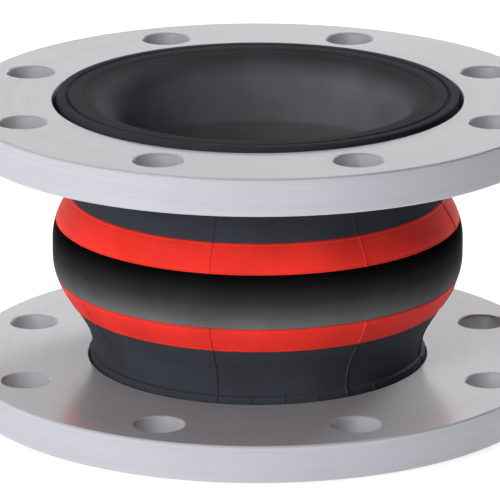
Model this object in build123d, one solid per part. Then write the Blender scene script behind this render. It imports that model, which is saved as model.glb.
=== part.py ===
from build123d import *

import os
from collections import namedtuple
from math import acos, cos, degrees, isclose, pi, radians, sin, sqrt, tan

# Rubber expansion joint, nominal bore 150 mm, PN 16 loose flanges.
# Frame: Z is the pipe axis and z = 0 is the lower rubber sealing face.

# ---- overall ----
LENGTH = 150.0  # sealing face to sealing face
MID = LENGTH / 2
FACE_PROUD = 2.0  # rubber face stands this far out of its flange

# ---- steel flanges ----
FLANGE_R = 142.5
FLANGE_THICK = 18.0
BOLT_CIRCLE_R = 120.0
BOLT_COUNT = 8
BOLT_HOLE_R = 11.5
FLANGE_CHAMFER = 0.6
HOLE_CHAMFER = 0.8  # on the face towards the bellows
RECESS_R = 98.7  # mouth of the seat that the rubber collar drops into
RECESS_DEPTH = 3.0  # straight part of the mouth
SEAT_GAP = 0.3  # running clearance, flange seat to rubber collar
LIP_GAP = 0.4  # running clearance, flange lip to rubber neck
LIP_CHAMFER = 1.0

# ---- bellows outer surface, by distance from the mid-plane ----
CROWN_R = 99.2
CROWN_FLAT = 3.4  # half length of the cylindrical crown
CROWN_ARC_R = 32.0
NECK_ARC_R = 32.0
SHOULDER_ANGLE = radians(31.6)
NECK_START = 51.9  # where the neck runs straight
CENTRE_BAND_HALF = 13.25
RED_BAND_END = 26.6
BAND_RAISE = 0.5  # coloured bands stand proud of the neck covers
BAND_CHAMFER = 0.3

# ---- wall layers, from outside to inside ----
COVER_THICK = 2.6
BOND_LINE = 0.05
PLY_COUNT = 4
PLY_THICK = 0.6
LINER_THICK = 1.95
THROAT_ARC_R = 4.0  # tight turn of the liner from the straight bore into the arch
WALL = COVER_THICK + BOND_LINE + PLY_COUNT * PLY_THICK + LINER_THICK

# ---- collar and its face ----
COLLAR_R = 96.5
COLLAR_EDGE = 0.8
GROOVE_OUTER_R = 92.3
GROOVE_INNER_R = 90.9
GROOVE_DEPTH = 1.2
RIDGE_INNER_R = 86.4
LIP_EDGE_R = 84.6  # edge of the liner where it is turned out over the face
LIP_EDGE_DEPTH = 0.6
LIP_ROUND_R = 10.0  # round from the bore onto the end face
LIP_ROUND_DEPTH = 1.0
LIP_BACK_DEPTH = LIP_ROUND_DEPTH + LINER_THICK
NECK_BASE_R = 81.5  # short plain band of the neck next to the flange
NECK_BASE_TOP = 23.2

# ---- bead ring ----
BEAD_R = 88.6
BEAD_Z = 8.5
BEAD_WIRE_R = 1.15
BEAD_WIRE_COUNT = 6  # wires laid round the middle wire
WRAP_INNER_R = 3 * BEAD_WIRE_R + BOND_LINE
WRAP_THICK = 0.8
COLLAR_ARC_R = COLLAR_R - BEAD_R

FLANGE_INNER_Z = FACE_PROUD + FLANGE_THICK
SHOULDER_Z = BEAD_Z + COLLAR_ARC_R


def revolved(*edges):
    """One solid of revolution about Z from a closed outline drawn in the XZ plane."""
    outline = make_face(Wire(list(edges)))
    return revolve(outline, Axis.Z, 360)


def at(radius, height):
    return Vector(radius, 0, height)


def run(*points):
    """Straight edges from point to point."""
    return [Edge.make_line(a, b) for a, b in zip(points, points[1:])]


def arc(centre, radius, start_deg, end_deg):
    """An arc in the XZ plane, its angles measured from +X towards +Z."""
    angles = [radians(angle) for angle in (start_deg, (start_deg + end_deg) / 2, end_deg)]
    return Edge.make_three_point_arc(*[centre + at(radius * cos(a), radius * sin(a)) for a in angles])


def upper(shape):
    """The same piece at the other end of the joint."""
    return mirror(shape, about=Plane.XY.offset(MID))


# One surface of the bellows wall. Ends of its arcs are (distance from the mid-plane, radius).
Surface = namedtuple("Surface", "crown_r crown_arc crown_end neck_arc slope_end neck_d neck_r")


def surface(inset, neck_arc=None):
    """A surface of the wall, inset from the outer one. Its neck arc is concentric by default."""
    crown_arc = CROWN_ARC_R - inset
    crown_d = CROWN_FLAT + crown_arc * sin(SHOULDER_ANGLE)
    crown_r = CROWN_R - inset - crown_arc * (1 - cos(SHOULDER_ANGLE))
    concentric = NECK_ARC_R + inset
    slope_length = NECK_START - concentric * sin(SHOULDER_ANGLE) - crown_d
    neck_r = crown_r - slope_length * tan(SHOULDER_ANGLE) - concentric * (1 - cos(SHOULDER_ANGLE))
    radius = neck_arc or concentric
    corner_d = crown_d + (crown_r - neck_r) / tan(SHOULDER_ANGLE)
    reach = radius * tan(SHOULDER_ANGLE / 2)
    slope_end = (corner_d - reach * cos(SHOULDER_ANGLE), neck_r + reach * sin(SHOULDER_ANGLE))
    crown_end = (crown_d, crown_r)
    return Surface(CROWN_R - inset, crown_arc, crown_end, radius, slope_end, corner_d + reach, neck_r)


def wall_line(wall, low, high):
    """Edges of one surface of the wall from z = low up to z = high, both on the straight necks."""
    slope = degrees(SHOULDER_ANGLE)
    crown_d, crown_r = wall.crown_end
    slope_d, slope_r = wall.slope_end
    crown_centre = wall.crown_r - wall.crown_arc
    neck_centre = wall.neck_r + wall.neck_arc
    return [
        Edge.make_line(at(wall.neck_r, low), at(wall.neck_r, MID - wall.neck_d)),
        arc(at(neck_centre, MID - wall.neck_d), wall.neck_arc, 180, 180 - slope),
        Edge.make_line(at(slope_r, MID - slope_d), at(crown_r, MID - crown_d)),
        arc(at(crown_centre, MID - CROWN_FLAT), wall.crown_arc, -slope, 0),
        Edge.make_line(at(wall.crown_r, MID - CROWN_FLAT), at(wall.crown_r, MID + CROWN_FLAT)),
        arc(at(crown_centre, MID + CROWN_FLAT), wall.crown_arc, 0, slope),
        Edge.make_line(at(crown_r, MID + crown_d), at(slope_r, MID + slope_d)),
        arc(at(neck_centre, MID + wall.neck_d), wall.neck_arc, 180 + slope, 180),
        Edge.make_line(at(wall.neck_r, MID + wall.neck_d), at(wall.neck_r, high)),
    ]


def layer(outer, inner, low, high):
    """A layer of the bellows wall between two of its surfaces."""
    ends = [
        Edge.make_line(at(outer.neck_r, low), at(inner.neck_r, low)),
        Edge.make_line(at(outer.neck_r, high), at(inner.neck_r, high)),
    ]
    return revolved(*wall_line(outer, low, high), *wall_line(inner, low, high), *ends)


def lip_centre():
    """Centre of the round where the liner turns out over the end face."""
    return at(surface(WALL).neck_r + LIP_ROUND_R, LIP_ROUND_DEPTH + LIP_ROUND_R)


def slice_between(shape, low, high):
    """The part of a ring between two heights."""
    slab = Pos(0, 0, (low + high) / 2) * Cylinder(FLANGE_R, high - low)
    return shape & slab


def outer_edges(shape, heights):
    """Circular edges at the given heights, the outermost one at each."""
    found = []
    for height in heights:
        level = [e for e in shape.edges().filter_by(GeomType.CIRCLE) if isclose(e.center().Z, height)]
        found.append(max(level, key=lambda edge: edge.radius))
    return found


def flange():
    """Loose steel backing flange with the seat for the rubber collar on its outer face."""
    seat_arc = COLLAR_ARC_R + SEAT_GAP
    seat_z = SHOULDER_Z + SEAT_GAP
    bore_r = NECK_BASE_R + LIP_GAP
    ring = revolved(
        *run(
            at(BEAD_R + seat_arc, BEAD_Z),
            at(RECESS_R, FACE_PROUD + RECESS_DEPTH),
            at(RECESS_R, FACE_PROUD),
            at(FLANGE_R - FLANGE_CHAMFER, FACE_PROUD),
            at(FLANGE_R, FACE_PROUD + FLANGE_CHAMFER),
            at(FLANGE_R, FLANGE_INNER_Z - FLANGE_CHAMFER),
            at(FLANGE_R - FLANGE_CHAMFER, FLANGE_INNER_Z),
            at(bore_r, FLANGE_INNER_Z),
            at(bore_r, seat_z + LIP_CHAMFER),
            at(bore_r + LIP_CHAMFER, seat_z),
            at(BEAD_R, seat_z),
        ),
        arc(at(BEAD_R, BEAD_Z), seat_arc, 90, 0),
    )
    drill = Pos(0, 0, FACE_PROUD + FLANGE_THICK / 2) * Cylinder(BOLT_HOLE_R, FLANGE_THICK)
    mouth_z = FLANGE_INNER_Z - HOLE_CHAMFER / 2
    drill += Pos(0, 0, mouth_z) * Cone(BOLT_HOLE_R, BOLT_HOLE_R + HOLE_CHAMFER, HOLE_CHAMFER)
    half_step = 180 / BOLT_COUNT
    return ring - [loc * drill for loc in PolarLocations(BOLT_CIRCLE_R, BOLT_COUNT, start_angle=half_step)]


def collar():
    """Moulded rubber bead: end face, outer wall and the rounded back that the flange seats on."""
    cover_inner_r = surface(COVER_THICK).neck_r
    lip_z = LIP_BACK_DEPTH + BOND_LINE
    round_r = LIP_ROUND_R - LINER_THICK - BOND_LINE
    round_end = 180 + degrees(acos((lip_centre().X - cover_inner_r) / round_r))
    behind_lip = arc(lip_centre(), round_r, 270, round_end)
    groove_mid_r = (GROOVE_OUTER_R + GROOVE_INNER_R) / 2
    body = revolved(
        *run(
            at(COLLAR_R, BEAD_Z),
            at(COLLAR_R, COLLAR_EDGE),
            at(COLLAR_R - COLLAR_EDGE, 0),
            at(GROOVE_OUTER_R, 0),
            at(groove_mid_r, GROOVE_DEPTH),
            at(GROOVE_INNER_R, 0),
            at(RIDGE_INNER_R, 0),
            at(LIP_EDGE_R + BOND_LINE, LIP_EDGE_DEPTH),
            at(LIP_EDGE_R + BOND_LINE, lip_z),
            at(lip_centre().X, lip_z),
        ),
        behind_lip,
        *run(
            behind_lip @ 1,
            at(cover_inner_r, FLANGE_INNER_Z),
            at(NECK_BASE_R, FLANGE_INNER_Z),
            at(NECK_BASE_R, SHOULDER_Z),
            at(BEAD_R, SHOULDER_Z),
        ),
        arc(at(BEAD_R, BEAD_Z), COLLAR_ARC_R, 90, 0),
    )
    wrap_r = WRAP_INNER_R + WRAP_THICK
    return body - Pos(0, 0, BEAD_Z) * Torus(BEAD_R, wrap_r)


def bead_core():
    """Bundle of steel wire hoops that keeps the collar from pulling out of the flange."""
    middle = Pos(0, 0, BEAD_Z) * Torus(BEAD_R, BEAD_WIRE_R)
    wires = [middle]
    for index in range(BEAD_WIRE_COUNT):
        angle = 2 * pi * index / BEAD_WIRE_COUNT
        pitch = 2 * BEAD_WIRE_R + BOND_LINE / 2
        hoop_r = BEAD_R + pitch * cos(angle)
        wires.append(Pos(0, 0, BEAD_Z + pitch * sin(angle)) * Torus(hoop_r, BEAD_WIRE_R))
    return Compound(wires)


def bead_wrap():
    """End of the cord fabric turned round the bead core."""
    outer = Torus(BEAD_R, WRAP_INNER_R + WRAP_THICK)
    return Pos(0, 0, BEAD_Z) * (outer - Torus(BEAD_R, WRAP_INNER_R + BOND_LINE / 2))


def liner():
    """Inner rubber tube, turned out over both end faces to make the sealing lips."""
    outer = surface(WALL - LINER_THICK)
    inner = surface(WALL, THROAT_ARC_R)
    centre = lip_centre()
    tube = layer(outer, inner, centre.Z, LENGTH - centre.Z)
    lip = revolved(
        *run(
            at(centre.X, LIP_ROUND_DEPTH),
            at(LIP_EDGE_R, LIP_EDGE_DEPTH),
            at(LIP_EDGE_R, LIP_BACK_DEPTH),
            at(centre.X, LIP_BACK_DEPTH),
        ),
        arc(centre, LIP_ROUND_R - LINER_THICK, 270, 180),
        Edge.make_line(at(outer.neck_r, centre.Z), at(inner.neck_r, centre.Z)),
        arc(centre, LIP_ROUND_R, 180, 270),
    )
    return tube + lip + upper(lip)


def cord_ply(index):
    """One ply of cord fabric, counted from the liner outwards."""
    inset = WALL - LINER_THICK - index * PLY_THICK
    inner = surface(inset)
    liner_back_r = LIP_ROUND_R - LINER_THICK
    reach = sqrt(max(0.0, liner_back_r ** 2 - (lip_centre().X - inner.neck_r) ** 2))
    end = lip_centre().Z - reach + BOND_LINE
    return layer(surface(inset - PLY_THICK), inner, end, LENGTH - end)


def neck_cover():
    """Black outer rubber from the flange to the first coloured band."""
    low = FLANGE_INNER_Z
    high = MID - RED_BAND_END
    inner = surface(COVER_THICK)
    neck = slice_between(layer(surface(BAND_RAISE), inner, 0, LENGTH), low, high)
    base_height = NECK_BASE_TOP - low
    base = Cylinder(NECK_BASE_R, base_height) - Cylinder(inner.neck_r, base_height)
    return neck + Pos(0, 0, low + base_height / 2) * base


def band(low, high):
    """A raised band of the outer cover between two heights."""
    ring = slice_between(layer(surface(0), surface(COVER_THICK), 0, LENGTH), low, high)
    return chamfer(outer_edges(ring, (low, high)), BAND_CHAMFER)


def main():
    lower_parts = {
        "flange": flange(),
        "collar": collar(),
        "bead_core": bead_core(),
        "bead_wrap": bead_wrap(),
        "neck_cover": neck_cover(),
        "red_band": band(MID - RED_BAND_END, MID - CENTRE_BAND_HALF),
    }
    parts = {"centre_band": band(MID - CENTRE_BAND_HALF, MID + CENTRE_BAND_HALF), "inner_liner": liner()}
    for index in range(PLY_COUNT):
        parts[f"cord_ply_{index + 1}"] = cord_ply(index)
    for name, shape in lower_parts.items():
        parts[f"lower_{name}"] = shape
        parts[f"upper_{name}"] = upper(shape)
    os.makedirs("parts", exist_ok=True)
    for name, shape in parts.items():
        export_step(shape, f"parts/{name}.step")


main()
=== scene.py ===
"""A rubber expansion joint with loose steel flanges: its looks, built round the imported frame."""

from math import ceil, cos, pi, radians, sin, sqrt, tan

import bpy
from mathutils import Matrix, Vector


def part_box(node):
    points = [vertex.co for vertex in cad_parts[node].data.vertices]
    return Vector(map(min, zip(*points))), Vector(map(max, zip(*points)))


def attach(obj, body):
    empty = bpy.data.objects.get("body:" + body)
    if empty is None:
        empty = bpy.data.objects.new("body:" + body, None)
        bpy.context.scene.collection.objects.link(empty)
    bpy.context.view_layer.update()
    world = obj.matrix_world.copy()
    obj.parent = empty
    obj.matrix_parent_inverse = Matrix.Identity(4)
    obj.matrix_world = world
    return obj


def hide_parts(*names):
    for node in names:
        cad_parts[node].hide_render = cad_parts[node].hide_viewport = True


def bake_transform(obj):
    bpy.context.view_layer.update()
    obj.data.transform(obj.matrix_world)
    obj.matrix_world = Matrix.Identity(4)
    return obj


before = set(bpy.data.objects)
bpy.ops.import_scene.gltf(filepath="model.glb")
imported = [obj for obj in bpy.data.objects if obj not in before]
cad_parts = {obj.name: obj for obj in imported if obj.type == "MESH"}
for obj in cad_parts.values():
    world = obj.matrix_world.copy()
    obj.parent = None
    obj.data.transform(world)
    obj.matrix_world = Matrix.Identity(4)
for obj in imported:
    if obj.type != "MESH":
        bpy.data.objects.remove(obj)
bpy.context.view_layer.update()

MM = 0.001
FULL_TURN = 2 * pi

# ---- heights and radii read from the frame, in metres ----
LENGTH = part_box("upper_collar")[1].z
MID = LENGTH / 2
COLLAR_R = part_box("upper_collar")[1].x
FLANGE_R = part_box("upper_flange")[1].x
FLANGE_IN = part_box("upper_flange")[0].z
RED_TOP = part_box("upper_red_band")[1].z
CENTRE_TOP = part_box("centre_band")[1].z

# ---- wall of the bellows ----
CROWN_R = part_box("centre_band")[1].x
CROWN_FLAT = 3.4 * MM
ARC_R = 32.0 * MM
SHOULDER = radians(31.6)
NECK_START = 51.9 * MM
COVER = 2.6 * MM
PLY_START = 2.65 * MM
PLY = 0.6 * MM
PLY_COUNT = 4
LINER_START = PLY_START + PLY_COUNT * PLY
WALL = 7.0 * MM
LINER_THICK = WALL - LINER_START
THROAT_ARC = 4.0 * MM  # tight turn of the liner from the bore into the arch
LIP_ROUND = 10.0 * MM  # round from the bore onto the end face
LIP_DEPTH = 1.0 * MM  # where the round meets the lip, below the sealing face
LIP_EDGE_R = 84.6 * MM  # where the turned-out liner ends on the end face
LIP_EDGE_DEPTH = 0.6 * MM
LIP_EDGE_ROUND = 0.15 * MM
BAND_RAISE = 0.5 * MM  # coloured bands stand this far out of the necks
NECK_BASE_R = 81.5 * MM  # plain band of the neck next to the flange
NECK_BASE_HEIGHT = 3.2 * MM
CLEAR = 0.1 * MM  # gap behind the turned-out liner

# ---- collar ----
BEAD_R = 88.6 * MM
BEAD_DEPTH = 8.5 * MM  # bead's centre, below the sealing face
COLLAR_BACK = 7.9 * MM  # round of the collar's back about the bead
COLLAR_EDGE = 0.9 * MM
GROOVE_OUTER_R = 92.6 * MM
GROOVE_INNER_R = 90.6 * MM
GROOVE_SLOPE = 0.6 * MM
GROOVE_DEPTH = 1.2 * MM
RIDGE_INNER_R = 86.4 * MM

# ---- mould marks ----
PARTING_COUNT = 8
PARTING_ANGLE = radians(-103.6)
PARTING_HALF = radians(0.26)
PARTING_HEIGHT = 0.48 * MM
TICK_COUNT = 32
TICK_HEIGHT = 0.35 * MM

# ---- flange ----
BOLT_COUNT = 8
BOLT_CIRCLE_R = 120.0 * MM
BOLT_HOLE_R = 11.5 * MM
HOLE_EDGE = 0.8 * MM  # chamfer on each bolt hole
RECESS_R = 98.7 * MM
RECESS_DEPTH = 3.0 * MM  # straight part of the recess
RECESS_EDGE = 0.4 * MM
SEAT_DEPTH = 6.5 * MM  # centre of the seat's round, below the outer face
SEAT_ROUND = 8.2 * MM
LIP_GAP = 0.4 * MM  # clearance round the neck
LIP_EDGE = 0.8 * MM

EDGE = 0.6 * MM  # chamfer on the rim
RIM_ROUGHNESS = 0.5  # the rim is turned more coarsely than the faces
RIM_TINT = (1.01, 1.01, 1.06)

# ---- how finely round things are cut ----
SKIN_STEPS = 240
HIDDEN_STEPS = 96
RING_STEP = 1.1 * MM
GUARD = 0.4 * MM  # distance of the extra line of points beside an edge
NEAR_GUARD = 0.35 * MM
WIDE_GUARD = 1.6 * MM
SHARP = radians(50)  # edges turned more than this are shaded as corners
HEIGHT_SHARE = "height_share"  # each point's height at rest over the length


# ------------------------------------------------------------------ outlines

def wall_radius(z, inset, throat=None):
    """Radius at height z of the surface this far inside the wall. Throat is its neck arc, if given."""
    d = abs(z - MID)
    crown_arc = ARC_R - inset
    neck_arc = ARC_R + inset
    crown_r = CROWN_R - inset
    crown_end = CROWN_FLAT + crown_arc * sin(SHOULDER)
    slope_r = crown_r - crown_arc * (1 - cos(SHOULDER))
    slope_length = NECK_START - neck_arc * sin(SHOULDER) - crown_end
    neck_r = slope_r - slope_length * tan(SHOULDER) - neck_arc * (1 - cos(SHOULDER))
    turn = throat or neck_arc
    neck_start = crown_end + (slope_r - neck_r) / tan(SHOULDER) + turn * tan(SHOULDER / 2)
    if d <= CROWN_FLAT:
        return crown_r
    if d <= crown_end:
        return crown_r - crown_arc + sqrt(crown_arc ** 2 - (d - CROWN_FLAT) ** 2)
    if d <= neck_start - turn * sin(SHOULDER):
        return slope_r - (d - crown_end) * tan(SHOULDER)
    if d <= neck_start:
        return neck_r + turn - sqrt(turn ** 2 - (neck_start - d) ** 2)
    return neck_r


def rounded(corners, steps=4, guard=NEAR_GUARD):
    """A closed outline from (radius, height, rounding) corners, with guard points beside each rounding."""
    outline = []
    count = len(corners)
    for index, (r, z, rounding) in enumerate(corners):
        here = Vector((r, z))
        before = Vector(corners[index - 1][:2])
        after = Vector(corners[(index + 1) % count][:2])
        to_before = (before - here).normalized()
        to_after = (after - here).normalized()
        if rounding <= 0:
            outline.append(tuple(here))
            continue
        half = to_before.angle(to_after) / 2
        reach = rounding / tan(half)
        centre = here + (to_before + to_after).normalized() * (rounding / sin(half))
        start = here + to_before * reach
        end = here + to_after * reach
        if (before - here).length > 4 * (reach + guard):
            outline.append(tuple(start + to_before * guard))
        spoke = start - centre
        sweep = spoke.angle_signed(end - centre)
        for step in range(steps + 1):
            turn = -sweep * step / steps
            outline.append((
                centre.x + spoke.x * cos(turn) - spoke.y * sin(turn),
                centre.y + spoke.x * sin(turn) + spoke.y * cos(turn),
            ))
        if (after - here).length > 4 * (reach + guard):
            outline.append(tuple(end + to_after * guard))
    return outline


def heights(low, high, step=RING_STEP):
    count = max(2, ceil((high - low) / step))
    return [low + (high - low) * index / count for index in range(count + 1)]


def even_angles(steps):
    return [FULL_TURN * index / steps for index in range(steps)]


def marked_angles(steps, marks, half_width):
    """Even angles, plus close lines at each mould mark so that it can stand proud."""
    spacing = FULL_TURN / steps
    offsets = [share * half_width for share in (-1, -0.5, 0, 0.5, 1)]
    angles = [(mark + offset) % FULL_TURN for mark in marks for offset in offsets]
    for angle in even_angles(steps):
        gaps = [abs((angle - mark + pi) % FULL_TURN - pi) for mark in marks]
        if min(gaps) > half_width + spacing / 3:
            angles.append(angle)
    return sorted(angles)


PARTINGS = [PARTING_ANGLE + FULL_TURN * index / PARTING_COUNT for index in range(PARTING_COUNT)]
TICKS = [PARTING_ANGLE + FULL_TURN * index / TICK_COUNT for index in range(TICK_COUNT)]


def mark_height(angle, marks, half_width):
    gap = min(abs((angle - mark + pi) % FULL_TURN - pi) for mark in marks)
    return max(0.0, 1 - (gap / half_width) ** 2)


# ------------------------------------------------------------------ meshes

def mesh_object(name, points, faces, material):
    mesh = bpy.data.meshes.new(name)
    mesh.from_pydata(points, [], faces)
    mesh.validate()
    mesh.update()
    mesh.polygons.foreach_set("use_smooth", [True] * len(mesh.polygons))
    mesh.set_sharp_from_angle(angle=SHARP)
    mesh.materials.append(material)
    thing = bpy.data.objects.new(name, mesh)
    bpy.context.scene.collection.objects.link(thing)
    return thing


def no_relief(angle, r, z):
    return 0.0


def revolve(name, outline, angles, material, relief=no_relief):
    """A closed ring from a closed outline of (radius, height), counter-clockwise with radius to the right.

    Relief says how far each point stands out of the outline."""
    points = []
    for angle in angles:
        for r, z in outline:
            reach = r + relief(angle, r, z)
            points.append((reach * cos(angle), reach * sin(angle), z))
    n, m = len(angles), len(outline)
    faces = []
    for i in range(n):
        for j in range(m):
            a, b = i * m + j, i * m + (j + 1) % m
            c, d = ((i + 1) % n) * m + (j + 1) % m, ((i + 1) % n) * m + j
            faces.append((a, d, c, b))
    ring = mesh_object(name, points, faces, material)
    share = ring.data.attributes.new(HEIGHT_SHARE, "FLOAT", "POINT")
    share.data.foreach_set("value", [point[2] / LENGTH for point in points])
    return ring


def flipped(outline):
    """The same outline at the other end of the joint."""
    return [(r, LENGTH - z) for r, z in reversed(outline)]


# ------------------------------------------------------------------ materials

def node(tree, kind, inputs=None, **settings):
    made = tree.nodes.new(kind)
    for key, value in settings.items():
        setattr(made, key, value)
    for key, value in (inputs or {}).items():
        if isinstance(value, bpy.types.NodeSocket):
            tree.links.new(value, made.inputs[key])
        else:
            made.inputs[key].default_value = value
    return made


def math_node(tree, operation, first, second=0.0):
    return node(tree, "ShaderNodeMath", {0: first, 1: second}, operation=operation).outputs[0]


def ramp(tree, factor, stops):
    made = node(tree, "ShaderNodeValToRGB", {"Fac": factor})
    elements = made.color_ramp.elements
    while len(elements) < len(stops):
        elements.new(0.5)
    for element, (place, colour) in zip(elements, stops):
        element.position = place
        element.color = (*colour, 1.0) if len(colour) == 3 else colour
    return made.outputs["Color"]


def grey(value):
    return (value, value, value)


def new_material(name):
    material = bpy.data.materials.new(name)
    material.use_nodes = True
    tree = material.node_tree
    shader = tree.nodes["Principled BSDF"]
    return material, tree, shader


def object_position(tree):
    return node(tree, "ShaderNodeTexCoord").outputs["Object"]


def round_position(tree, along, across):
    """Position as (radius, height, a little of the angle), so that marks run round the axis."""
    parts = node(tree, "ShaderNodeSeparateXYZ", {0: object_position(tree)})
    square = math_node(tree, "ADD",
                       math_node(tree, "MULTIPLY", parts.outputs[0], parts.outputs[0]),
                       math_node(tree, "MULTIPLY", parts.outputs[1], parts.outputs[1]))
    radius = math_node(tree, "SQRT", square)
    return node(tree, "ShaderNodeCombineXYZ", {
        0: math_node(tree, "MULTIPLY", radius, across),
        1: math_node(tree, "MULTIPLY", parts.outputs[2], across),
        2: math_node(tree, "MULTIPLY", parts.outputs[0], along),
    }).outputs[0]


def noise(tree, vector, scale=1.0, detail=4.0, rough=0.55):
    return node(tree, "ShaderNodeTexNoise",
                {"Vector": vector, "Scale": scale, "Detail": detail, "Roughness": rough}).outputs["Fac"]


def bump(tree, height, strength, distance, under=None):
    inputs = {"Height": height, "Strength": strength, "Distance": distance}
    if under is not None:
        inputs["Normal"] = under
    return node(tree, "ShaderNodeBump", inputs).outputs["Normal"]


def steel():
    """Turned and zinc-bright steel: fine tool marks round the axis, faint cloudy patches, a coarser rim."""
    material, tree, shader = new_material("turned_steel")
    marks = noise(tree, round_position(tree, along=6.0, across=900.0), detail=3.0, rough=0.6)
    broad = noise(tree, round_position(tree, along=3.0, across=60.0), detail=2.0)
    clouds = noise(tree, object_position(tree), scale=22.0, detail=5.0)
    grain = noise(tree, object_position(tree), scale=1400.0, detail=2.0)
    blend = math_node(tree, "ADD", math_node(tree, "MULTIPLY", marks, 0.45),
                      math_node(tree, "ADD", math_node(tree, "MULTIPLY", broad, 0.25),
                                math_node(tree, "MULTIPLY", clouds, 0.30)))
    tone = ramp(tree, blend, [(0.34, (0.405, 0.411, 0.425)), (0.66, (0.47, 0.477, 0.495))])
    finish = ramp(tree, blend, [(0.3, grey(0.21)), (0.7, grey(0.16))])
    parts = node(tree, "ShaderNodeSeparateXYZ", {0: round_position(tree, along=0.0, across=1.0)})
    rim = math_node(tree, "GREATER_THAN", parts.outputs[0], FLANGE_R - EDGE)
    tint = ramp(tree, rim, [(0.0, grey(1.0)), (1.0, RIM_TINT)])
    colour = node(tree, "ShaderNodeVectorMath", {0: tone, 1: tint}, operation="MULTIPLY")
    tree.links.new(colour.outputs[0], shader.inputs["Base Color"])
    coarse = math_node(tree, "MULTIPLY", rim, RIM_ROUGHNESS)
    tree.links.new(math_node(tree, "MAXIMUM", finish, coarse), shader.inputs["Roughness"])
    lathe = bump(tree, marks, strength=0.03, distance=0.0002)
    finest = bump(tree, grain, strength=0.02, distance=0.0001, under=lathe)
    tree.links.new(finest, shader.inputs["Normal"])
    shader.inputs["Metallic"].default_value = 0.32
    return material


def rubber(name, tones, roughness, ior=1.15, skin=0.12):
    """Moulded rubber: slight mottling, fine pores and faint flow lines from the mould.

    Tones are (height at rest over the length, colour), from the lower end face to the upper; where the tone
    changes with height it is painted light and shade."""
    material, tree, shader = new_material(name)
    place = object_position(tree)
    mottle = noise(tree, place, scale=35.0, detail=6.0, rough=0.6)
    bloom = noise(tree, place, scale=9.0, detail=3.0)
    pores = noise(tree, place, scale=1500.0, detail=3.0, rough=0.7)
    waves = noise(tree, place, scale=120.0, detail=3.0)
    flow = noise(tree, round_position(tree, along=4.0, across=260.0), detail=2.0)
    share = node(tree, "ShaderNodeAttribute", attribute_name=HEIGHT_SHARE).outputs["Fac"]
    mix = math_node(tree, "ADD", math_node(tree, "MULTIPLY", mottle, 0.6),
                    math_node(tree, "MULTIPLY", bloom, 0.4))
    cloud = ramp(tree, mix, [(0.36, grey(0.84)), (0.66, grey(1.16))])
    colour = node(tree, "ShaderNodeVectorMath", {0: ramp(tree, share, tones), 1: cloud}, operation="MULTIPLY")
    tree.links.new(colour.outputs[0], shader.inputs["Base Color"])
    finish = math_node(tree, "ADD", math_node(tree, "MULTIPLY", mottle, 0.5),
                       math_node(tree, "MULTIPLY", flow, 0.5))
    tree.links.new(ramp(tree, finish, [(0.3, grey(roughness - 0.05)), (0.7, grey(roughness + 0.07))]),
                   shader.inputs["Roughness"])
    large = bump(tree, waves, strength=0.06, distance=0.0006)
    small = bump(tree, pores, strength=skin, distance=0.00012, under=large)
    tree.links.new(small, shader.inputs["Normal"])
    shader.inputs["IOR"].default_value = ior
    return material


def cord_fabric():
    """Rubberised cord fabric: parallel cords laid at a slant, seen as fine ribs."""
    material, tree, shader = new_material("cord_fabric")
    parts = node(tree, "ShaderNodeSeparateXYZ", {0: object_position(tree)})
    turn = math_node(tree, "ARCTAN2", parts.outputs[1], parts.outputs[0])
    slant = math_node(tree, "ADD", math_node(tree, "MULTIPLY", turn, 180.0),
                      math_node(tree, "MULTIPLY", parts.outputs[2], 2600.0))
    ribs = math_node(tree, "SINE", slant)
    fuzz = noise(tree, object_position(tree), scale=900.0)
    tone = math_node(tree, "ADD", math_node(tree, "MULTIPLY", ribs, 0.3), fuzz)
    tree.links.new(ramp(tree, tone, [(0.2, (0.22, 0.18, 0.12)), (0.8, (0.68, 0.6, 0.45))]),
                   shader.inputs["Base Color"])
    tree.links.new(bump(tree, ribs, strength=0.5, distance=0.0003), shader.inputs["Normal"])
    shader.inputs["Roughness"].default_value = 0.8
    return material


def bead_wire():
    """Drawn, bronze-coated wire."""
    material, tree, shader = new_material("bead_wire")
    marks = noise(tree, round_position(tree, along=30.0, across=2500.0))
    tree.links.new(ramp(tree, marks, [(0.3, (0.42, 0.33, 0.2)), (0.7, (0.66, 0.55, 0.36))]),
                   shader.inputs["Base Color"])
    tree.links.new(bump(tree, marks, strength=0.1, distance=0.0001), shader.inputs["Normal"])
    shader.inputs["Metallic"].default_value = 1.0
    shader.inputs["Roughness"].default_value = 0.35
    return material


STEEL = steel()
NECK_TONE = (0.034, 0.038, 0.046)
BLACK = rubber("black_rubber", [(0.0, NECK_TONE), (1.0, NECK_TONE)], 0.5, ior=1.1)
COLLAR_TONE = (0.03, 0.032, 0.036)
COLLAR = rubber("collar_rubber", [(0.0, COLLAR_TONE), (1.0, COLLAR_TONE)], 0.5, ior=1.03)
# Painted shade and painted reflection: the centre band runs from near black at its top to light grey at its
# bottom, standing in for the dark front and the pale floor and lower flange mirrored in it.
CENTRE_PAINTED_SHADE_TONES = [(0.0, grey(0.11)), (0.42, grey(0.11)), (0.455, grey(0.06)), (0.50, grey(0.022)),
              (0.55, grey(0.006)), (0.58, grey(0.002)), (1.0, grey(0.002))]
CENTRE = rubber("black_band_rubber", CENTRE_PAINTED_SHADE_TONES, 0.32, ior=1.01, skin=0.04)
# Painted shade: the red is darker towards the upper end, so the upper band reads as more shaded than the
# lower one.
RED = rubber("red_rubber", [(0.0, (0.78, 0.034, 0.024)), (1.0, (0.48, 0.02, 0.014))], 0.5, ior=1.2)
LINER_TONE = (0.105, 0.108, 0.12)
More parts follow.
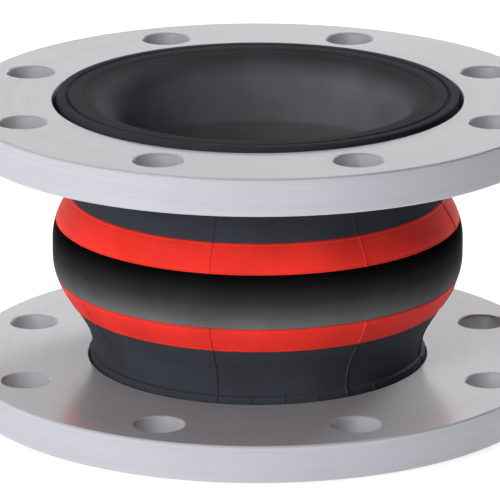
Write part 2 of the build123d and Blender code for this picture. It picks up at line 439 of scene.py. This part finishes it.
# Painted shade and painted light: the liner is much darker over both end faces and the rounds into the bore,
# and the hidden arch gets the bore wall's light grey, both standing in for how light falls into the bore.
LINER_PAINTED_LIGHT_AND_SHADE = [(0.0, grey(0.02)), (0.08, LINER_TONE), (0.22, LINER_TONE), (0.24, grey(0.1)),
               (0.76, grey(0.1)), (0.78, LINER_TONE), (0.92, LINER_TONE), (1.0, grey(0.02))]
LINER = rubber("liner_rubber", LINER_PAINTED_LIGHT_AND_SHADE, 0.5, ior=1.04)
CORD = cord_fabric()
WIRE = bead_wire()


# ------------------------------------------------------------------ flanges

PATCH_HALF = radians(7.6)  # half angle of the square patch round each hole
PATCH_IN = 104.0 * MM
PATCH_OUT = 136.0 * MM
PATCH_CELLS = 16
SIDE_CELLS = 6


class Builder:
    """Points and faces, with points in the same place shared."""

    def __init__(self):
        self.points, self.faces, self.known = [], [], {}

    def point(self, x, y, z):
        key = (round(x, 7), round(y, 7), round(z, 7))
        if key not in self.known:
            self.known[key] = len(self.points)
            self.points.append((x, y, z))
        return self.known[key]

    def face(self, corners, flip=False):
        ids = []
        for corner in corners:
            index = self.point(*corner)
            if index not in ids:
                ids.append(index)
        if len(ids) > 2:
            self.faces.append(tuple(reversed(ids)) if flip else tuple(ids))

    def band(self, low, high, flip=False):
        """Quads between two closed loops with the same number of points."""
        count = len(low)
        for index in range(count):
            after = (index + 1) % count
            self.face([low[index], low[after], high[after], high[index]], flip)


def polar(r, angle, z):
    return (r * cos(angle), r * sin(angle), z)


def sector_angles(centre):
    """Angles across one bolt's sector: coarse at its sides, fine across the hole."""
    half = pi / BOLT_COUNT
    side = [-half + (half - PATCH_HALF) * index / SIDE_CELLS for index in range(SIDE_CELLS)]
    across = [-PATCH_HALF + 2 * PATCH_HALF * index / PATCH_CELLS for index in range(PATCH_CELLS + 1)]
    far = [-value for value in reversed(side)]
    return [centre + value for value in side + across + far]


def patch_edge(centre):
    """(radius, angle) round the square patch, counter-clockwise from its inner corner."""
    angles = sector_angles(centre)[SIDE_CELLS:SIDE_CELLS + PATCH_CELLS + 1]
    radii = [PATCH_IN + (PATCH_OUT - PATCH_IN) * index / PATCH_CELLS for index in range(PATCH_CELLS + 1)]
    inner = [(PATCH_IN, angle) for angle in angles]
    last = [(radius, angles[-1]) for radius in radii]
    outer = [(PATCH_OUT, angle) for angle in reversed(angles)]
    first = [(radius, angles[0]) for radius in reversed(radii)]
    return inner[:-1] + last[:-1] + outer[:-1] + first[:-1]


def face_radii(inner, outer):
    """Radii of the rings of a flange face, with guard rings next to both edges."""
    return ([inner, inner + GUARD]
            + [PATCH_IN + (PATCH_OUT - PATCH_IN) * index / PATCH_CELLS for index in range(PATCH_CELLS + 1)]
            + [outer - GUARD, outer])


def hole_loop(centre, edge, radius, z):
    """A circle round the hole, one point for each point of the patch's edge."""
    middle = Vector(polar(BOLT_CIRCLE_R, centre, 0))
    loop = []
    for r, angle in edge:
        away = (Vector(polar(r, angle, 0)) - middle).normalized()
        loop.append((middle.x + away.x * radius, middle.y + away.y * radius, z))
    return loop


def flange_face(build, z, inner, outer, faces_up):
    """A flat face of the flange, open at the bolt holes."""
    radii = face_radii(inner, outer)
    for bolt in range(BOLT_COUNT):
        centre = pi / BOLT_COUNT + FULL_TURN * bolt / BOLT_COUNT
        angles = sector_angles(centre)
        for row, (r0, r1) in enumerate(zip(radii, radii[1:])):
            for column, (a0, a1) in enumerate(zip(angles, angles[1:])):
                inside = 2 <= row < 2 + PATCH_CELLS and SIDE_CELLS <= column < SIDE_CELLS + PATCH_CELLS
                if not inside:
                    corners = [polar(r0, a0, z), polar(r1, a0, z), polar(r1, a1, z), polar(r0, a1, z)]
                    build.face(corners, not faces_up)
        edge = patch_edge(centre)
        border = [polar(r, angle, z) for r, angle in edge]
        mouth = BOLT_HOLE_R + HOLE_EDGE
        rings = [border] + [hole_loop(centre, edge, mouth + gap, z) for gap in (WIDE_GUARD, NEAR_GUARD, 0.0)]
        for outside, inside in zip(rings, rings[1:]):
            build.band(outside, inside, faces_up)


def hole_wall(build, centre, low, high):
    """Chamfered wall of one bolt hole."""
    edge = patch_edge(centre)
    mouth = BOLT_HOLE_R + HOLE_EDGE
    levels = [(mouth, low), (BOLT_HOLE_R, low + HOLE_EDGE), (BOLT_HOLE_R, low + HOLE_EDGE + GUARD),
              (BOLT_HOLE_R, high - HOLE_EDGE - GUARD), (BOLT_HOLE_R, high - HOLE_EDGE), (mouth, high)]
    loops = [hole_loop(centre, edge, radius, z) for radius, z in levels]
    for below, above in zip(loops, loops[1:]):
        build.band(below, above)


def round_strip(build, outline, flip):
    """Surface of revolution along an open outline, on the same angles as the flange's faces."""
    angles = []
    for bolt in range(BOLT_COUNT):
        angles += sector_angles(pi / BOLT_COUNT + FULL_TURN * bolt / BOLT_COUNT)[:-1]
    loops = [[polar(r, angle, z) for angle in angles] for r, z in outline]
    for below, above in zip(loops, loops[1:]):
        build.band(below, above, flip)


def rim_outline(low, high):
    """The outer rim with a small round on each chamfer's corners."""
    # (distance in from the rim, distance from the flange's face)
    corner = [(EDGE, 0.0), (EDGE - 0.25 * MM, 0.15 * MM), (0.2 * MM, EDGE - 0.1 * MM),
              (0.0, EDGE + 0.2 * MM), (0.0, EDGE + 0.6 * MM)]
    return ([(FLANGE_R - inward, low + up) for inward, up in corner]
            + [(FLANGE_R - inward, high - down) for inward, down in reversed(corner)])


def seat_outline(outer_z, inner_z):
    """From the recess mouth in the outer face, round the seat, to the bore lip at the inner face."""
    side = 1 if inner_z > outer_z else -1
    bead_z = outer_z + side * SEAT_DEPTH
    lip_r = NECK_BASE_R + LIP_GAP
    seat = [(BEAD_R + SEAT_ROUND * cos(a), bead_z + side * SEAT_ROUND * sin(a))
            for a in [radians(10 * index) for index in range(10)]]
    mouth = [(RECESS_R + RECESS_EDGE, outer_z), (RECESS_R, outer_z + side * RECESS_EDGE),
             (RECESS_R, outer_z + side * RECESS_DEPTH)]
    lip = [(lip_r + 1.0 * MM, seat[-1][1]), (lip_r, seat[-1][1] + side * 1.0 * MM),
           (lip_r, inner_z - side * 0.9 * MM), (lip_r + 0.2 * MM, inner_z - side * 0.35 * MM),
           (lip_r + LIP_EDGE, inner_z)]
    return mouth + seat + lip


def make_flange(side):
    """One loose flange. Its recess opens towards the pipe."""
    low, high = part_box(f"{side}_flange")
    outer_z, inner_z = (high.z, low.z) if side == "upper" else (low.z, high.z)
    outer_edge = FLANGE_R - EDGE
    build = Builder()
    flange_face(build, outer_z, RECESS_R + RECESS_EDGE, outer_edge, side == "upper")
    flange_face(build, inner_z, NECK_BASE_R + LIP_GAP + LIP_EDGE, outer_edge, side == "lower")
    round_strip(build, rim_outline(low.z, high.z), False)
    round_strip(build, seat_outline(outer_z, inner_z), side == "lower")
    for bolt in range(BOLT_COUNT):
        hole_wall(build, pi / BOLT_COUNT + FULL_TURN * bolt / BOLT_COUNT, low.z, high.z)
    ring = mesh_object(f"{side}_flange_ring", build.points, build.faces, STEEL)
    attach(ring, f"loose_flange_{side}")
    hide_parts(f"{side}_flange")


# ------------------------------------------------------------------ rubber

def collar_outline():
    """Upper collar: end face with rim, groove, raised ring and step, rounded back, neck root."""
    bead_z = LENGTH - BEAD_DEPTH
    groove_z = LENGTH - GROOVE_DEPTH
    inner_r = wall_radius(LENGTH, COVER)
    back = [(BEAD_R + COLLAR_BACK * cos(a), bead_z - COLLAR_BACK * sin(a), 0)
            for a in [radians(15 * index) for index in range(6, -1, -1)]]
    neck = [(inner_r, FLANGE_IN, 0), (NECK_BASE_R, FLANGE_IN, 0), (NECK_BASE_R, back[0][1], 0.8 * MM)]
    groove = [(GROOVE_OUTER_R, LENGTH, 0.35 * MM), (GROOVE_OUTER_R - GROOVE_SLOPE, groove_z, 0.25 * MM),
              (GROOVE_INNER_R + GROOVE_SLOPE, groove_z, 0.25 * MM), (GROOVE_INNER_R, LENGTH, 0.35 * MM)]
    lip_r = LIP_EDGE_R + CLEAR / 2
    lip_back = lip_round(LIP_ROUND - LINER_THICK - CLEAR, start=90, end=135, steps=6)
    behind_lip = [(r, z, 0) for r, z in lip_back]
    step = [(RIDGE_INNER_R, LENGTH, 0.6 * MM), (lip_r, LENGTH - LIP_EDGE_DEPTH, 0.12 * MM),
            (lip_r, behind_lip[0][1], 0)]
    return rounded(neck + back + [(COLLAR_R, LENGTH, COLLAR_EDGE)] + groove + step + behind_lip)


def lip_round(radius, start, end, steps):
    """Points about the centre of the lip's round, between two angles in degrees: 0 is outwards, 90 up."""
    centre_r = wall_radius(LENGTH, WALL) + LIP_ROUND
    centre_z = LENGTH - LIP_DEPTH - LIP_ROUND
    angles = [radians(start + (end - start) * index / steps) for index in range(steps + 1)]
    return [(centre_r + radius * cos(a), centre_z + radius * sin(a)) for a in angles]


def make_collar(side):
    outline = collar_outline()
    if side == "lower":
        outline = flipped(outline)
    ring = revolve(f"{side}_rubber_collar", outline, even_angles(SKIN_STEPS), COLLAR)
    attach(ring, f"bead_{side}")
    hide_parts(f"{side}_collar")


def make_liner_end(side):
    """The liner's end, turned out over the collar's face."""
    bore_r = wall_radius(LENGTH, WALL)
    back_r = wall_radius(LENGTH, LINER_START)
    back = lip_round(LIP_ROUND - LINER_THICK, start=180, end=90, steps=12)
    front = lip_round(LIP_ROUND, start=90, end=180, steps=24)
    lip_z = LENGTH - LIP_EDGE_DEPTH
    edge = [(LIP_EDGE_R, back[-1][1]), (LIP_EDGE_R, lip_z - LIP_EDGE_ROUND),
            (LIP_EDGE_R - LIP_EDGE_ROUND, lip_z)]
    outline = [(bore_r, FLANGE_IN), (back_r, FLANGE_IN)] + back + edge + front
    if side == "lower":
        outline = flipped(outline)
    ring = revolve(f"{side}_liner_end", outline, even_angles(SKIN_STEPS), LINER)
    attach(ring, f"bead_{side}")
    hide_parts("inner_liner")


ZONES = [
    ("neck_lower_zone", "bead_lower", "neck_lower", LENGTH - FLANGE_IN, LENGTH - RED_TOP),
    ("red_lower_zone", "neck_lower", "arch_lower", LENGTH - RED_TOP, LENGTH - CENTRE_TOP),
    ("crown_zone", "arch_lower", "arch_upper", LENGTH - CENTRE_TOP, CENTRE_TOP),
    ("red_upper_zone", "arch_upper", "neck_upper", CENTRE_TOP, RED_TOP),
    ("neck_upper_zone", "neck_upper", "bead_upper", RED_TOP, FLANGE_IN),
]


def layer_outline(low, high, outer, inner, step=RING_STEP, throat=None):
    """A closed outline of a layer of the wall between two heights."""
    up = [(wall_radius(z, outer), z) for z in heights(low, high, step)]
    down = [(wall_radius(z, inner, throat), z) for z in reversed(heights(low, high, step))]
    return up + down


def stretch(piece):
    """Bakes the piece's placement into its mesh."""
    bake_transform(piece)


def make_inner_layers():
    """The liner's wall and the cord plies, cut where the wall's zones meet."""
    for zone in ZONES:
        name, _, _, low, high = zone
        outline = layer_outline(low, high, LINER_START, WALL, RING_STEP / 2, THROAT_ARC)
        ring = revolve(f"liner_{name}", outline, even_angles(SKIN_STEPS), LINER)
        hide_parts("inner_liner")
        stretch(ring)
        for ply in range(PLY_COUNT):
            inner = LINER_START - ply * PLY
            outline = layer_outline(low, high, inner - PLY, inner, 2 * RING_STEP)
            ring = revolve(f"ply_{ply + 1}_{name}", outline, even_angles(HIDDEN_STEPS), CORD)
            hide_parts(f"cord_ply_{ply + 1}")
            stretch(ring)


def band_outline(low, high):
    """A raised band of the cover: rounded edges and a shallow line moulded just inside each."""
    edge, line_sink, line_in = 0.45 * MM, 0.16 * MM, 1.15 * MM
    # between the lines the band follows the wall
    up = []
    for z in heights(low, high, RING_STEP / 2):
        if low + 2 * line_in < z < high - 2 * line_in:
            up.append((wall_radius(z, 0), z))
    # the rounded edge at the low end, out of the wall beside it
    start = [(wall_radius(low, BAND_RAISE), low), (wall_radius(low, edge / 2), low + 0.12 * MM),
             (wall_radius(low, 0.05 * MM), low + 0.3 * MM), (wall_radius(low + edge, 0), low + edge)]
    # the line's section, as (height from the line, depth)
    section = [(-0.25 * MM, 0), (0, line_sink), (0.25 * MM, line_sink), (0.5 * MM, 0), (0.8 * MM, 0)]
    start += [(wall_radius(low + line_in + step, sink), low + line_in + step) for step, sink in section]
    finish = [(r, low + high - z) for r, z in reversed(start)]
    finish = [(wall_radius(z, 0) - (wall_radius(low + high - z, 0) - r), z) for r, z in finish]
    down = [(wall_radius(z, COVER), z) for z in reversed(heights(low, high))]
    return start + up + finish + down


def on_outside(r, z):
    """Whether a point of the cover is on its visible side."""
    return r > wall_radius(z, COVER / 2)


def parting_relief(angle, r, z):
    return PARTING_HEIGHT * mark_height(angle, PARTINGS, PARTING_HALF) if on_outside(r, z) else 0.0


def make_band(node_name, zone, material, marked):
    _, _, _, low, high = zone
    angles = marked_angles(SKIN_STEPS, PARTINGS, PARTING_HALF) if marked else even_angles(SKIN_STEPS)
    ring = revolve(f"{node_name}_skin", band_outline(low, high), angles, material,
                   parting_relief if marked else no_relief)
    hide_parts(node_name)
    stretch(ring)


def neck_outline(low, high):
    """Lower neck: a plain root band with a small step, then the curved wall up to the red band."""
    top = low + NECK_BASE_HEIGHT
    # up the root band and in over its step
    up = [(NECK_BASE_R, low), (NECK_BASE_R, low + 1.2 * MM), (NECK_BASE_R, top - 0.7 * MM),
          (NECK_BASE_R - 0.15 * MM, top - 0.2 * MM),
          (wall_radius(top, BAND_RAISE) + 0.1 * MM, top + 0.3 * MM)]
    up += [(wall_radius(z, BAND_RAISE), z) for z in heights(top + 0.9 * MM, high)]
    down = [(wall_radius(z, COVER), z) for z in reversed(heights(low, high))]
    return up + down


def make_neck(side, zone):
    _, _, _, low, high = zone
    root_low, root_high = LENGTH - FLANGE_IN, LENGTH - RED_TOP
    outline = neck_outline(root_low, root_high)
    if side == "upper":
        outline = flipped(outline)
    root = root_low + NECK_BASE_HEIGHT

    def relief(angle, r, z):
        if not on_outside(r, z):
            return 0.0
        height = z if side == "lower" else LENGTH - z
        ticks = TICK_HEIGHT * mark_height(angle, TICKS, PARTING_HALF) if height < root else 0.0
        return max(ticks, PARTING_HEIGHT * mark_height(angle, PARTINGS, PARTING_HALF))

    angles = marked_angles(SKIN_STEPS, TICKS, PARTING_HALF)
    ring = revolve(f"{side}_neck_skin", outline, angles, BLACK, relief)
    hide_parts(f"{side}_neck_cover")
    stretch(ring)


def finish_hidden_nodes():
    """Materials for the sealed CAD pieces inside the collars."""
    for side in ("lower", "upper"):
        for name, material in (("bead_core", WIRE), ("bead_wrap", CORD)):
            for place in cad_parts[f"{side}_{name}"].material_slots:
                place.material = material


# ------------------------------------------------------------------ studio

def make_floor():
    """A pale table top, faintly lit from within so that it stays even."""
    size = 6.0
    corners = [(-size, -size, 0), (size, -size, 0), (size, size, 0), (-size, size, 0)]
    material, _, shader = new_material("floor")
    shader.inputs["Base Color"].default_value = (*grey(0.45), 1)
    shader.inputs["Roughness"].default_value = 0.9
    shader.inputs["Emission Color"].default_value = (*grey(1.0), 1)
    shader.inputs["Emission Strength"].default_value = 0.74
    floor = mesh_object("floor", corners, [(0, 1, 2, 3)], material)


def make_light(name, place, target, size, power, spread=180):
    data = bpy.data.lights.new(name, "AREA")
    data.shape = "RECTANGLE"
    data.size, data.size_y = size
    data.energy = power
    data.spread = radians(spread)
    light = bpy.data.objects.new(name, data)
    light.location = place
    light.visible_glossy = False
    light.rotation_euler = (Vector(target) - Vector(place)).to_track_quat("-Z", "Y").to_euler()
    bpy.context.scene.collection.objects.link(light)


def fade(tree, value, span, strengths):
    """Runs from the first strength to the second as the value crosses the span."""
    return node(tree, "ShaderNodeMapRange",
                {0: value, 1: span[0], 2: span[1], 3: strengths[0], 4: strengths[1]}).outputs[0]


def make_world():
    """White behind the object, faint overhead, dark towards the front."""
    world = bpy.data.worlds.new("studio")
    world.use_nodes = True
    tree = world.node_tree
    parts = node(tree, "ShaderNodeSeparateXYZ", {0: node(tree, "ShaderNodeTexCoord").outputs["Generated"]})
    back = fade(tree, parts.outputs[1], (0.3, 0.9), (0.03, 0.85))
    above = fade(tree, parts.outputs[2], (0.5, 0.95), (0.0, 0.1))
    glow = math_node(tree, "MAXIMUM", back, above)
    tree.links.new(glow, tree.nodes["Background"].inputs["Strength"])
    tree.nodes["Background"].inputs["Color"].default_value = (*grey(1.0), 1)
    bpy.context.scene.world = world


def make_camera():
    """A long lens from 17 degrees above, close enough for the flanges to run out of the picture."""
    distance, elevation, aside, aim = 2.4338, radians(16.93), -0.0037, 0.07115
    data = bpy.data.cameras.new("camera")
    data.sensor_width = 36.0
    data.lens = 362.0
    data.clip_end = 50.0
    camera = bpy.data.objects.new("camera", data)
    camera.location = (aside, -distance * cos(elevation), aim + distance * sin(elevation))
    camera.rotation_euler = (pi / 2 - elevation, 0, 0)
    bpy.context.scene.collection.objects.link(camera)
    bpy.context.scene.camera = camera


def set_colour():
    view = bpy.context.scene.view_settings
    view.view_transform = "Standard"
    view.look = "None"


make_camera()
set_colour()
make_world()
make_floor()
make_light("key", place=(-1.46, -1.62, 0.52), target=(0, 0, 0.08), size=(0.9, 0.9), power=32.0)
make_light("fill", place=(-1.05, -1.9, 1.15), target=(0, 0, 0.05), size=(0.7, 0.7), power=28.0)
make_light("top", place=(-0.5, 0.2, 1.9), target=(0.1, 0.2, 0.0), size=(0.8, 1.6), power=2.8, spread=110)
make_light("back", place=(0.9, 1.5, 1.0), target=(0.0, 0.1, 0.0), size=(0.8, 0.8), power=4.0, spread=40)

for end in ("lower", "upper"):
    make_flange(end)
    make_collar(end)
    make_liner_end(end)
make_neck("lower", ZONES[0])
make_band("lower_red_band", ZONES[1], RED, True)
make_band("centre_band", ZONES[2], CENTRE, False)
make_band("upper_red_band", ZONES[3], RED, True)
make_neck("upper", ZONES[4])
make_inner_layers()
finish_hidden_nodes()
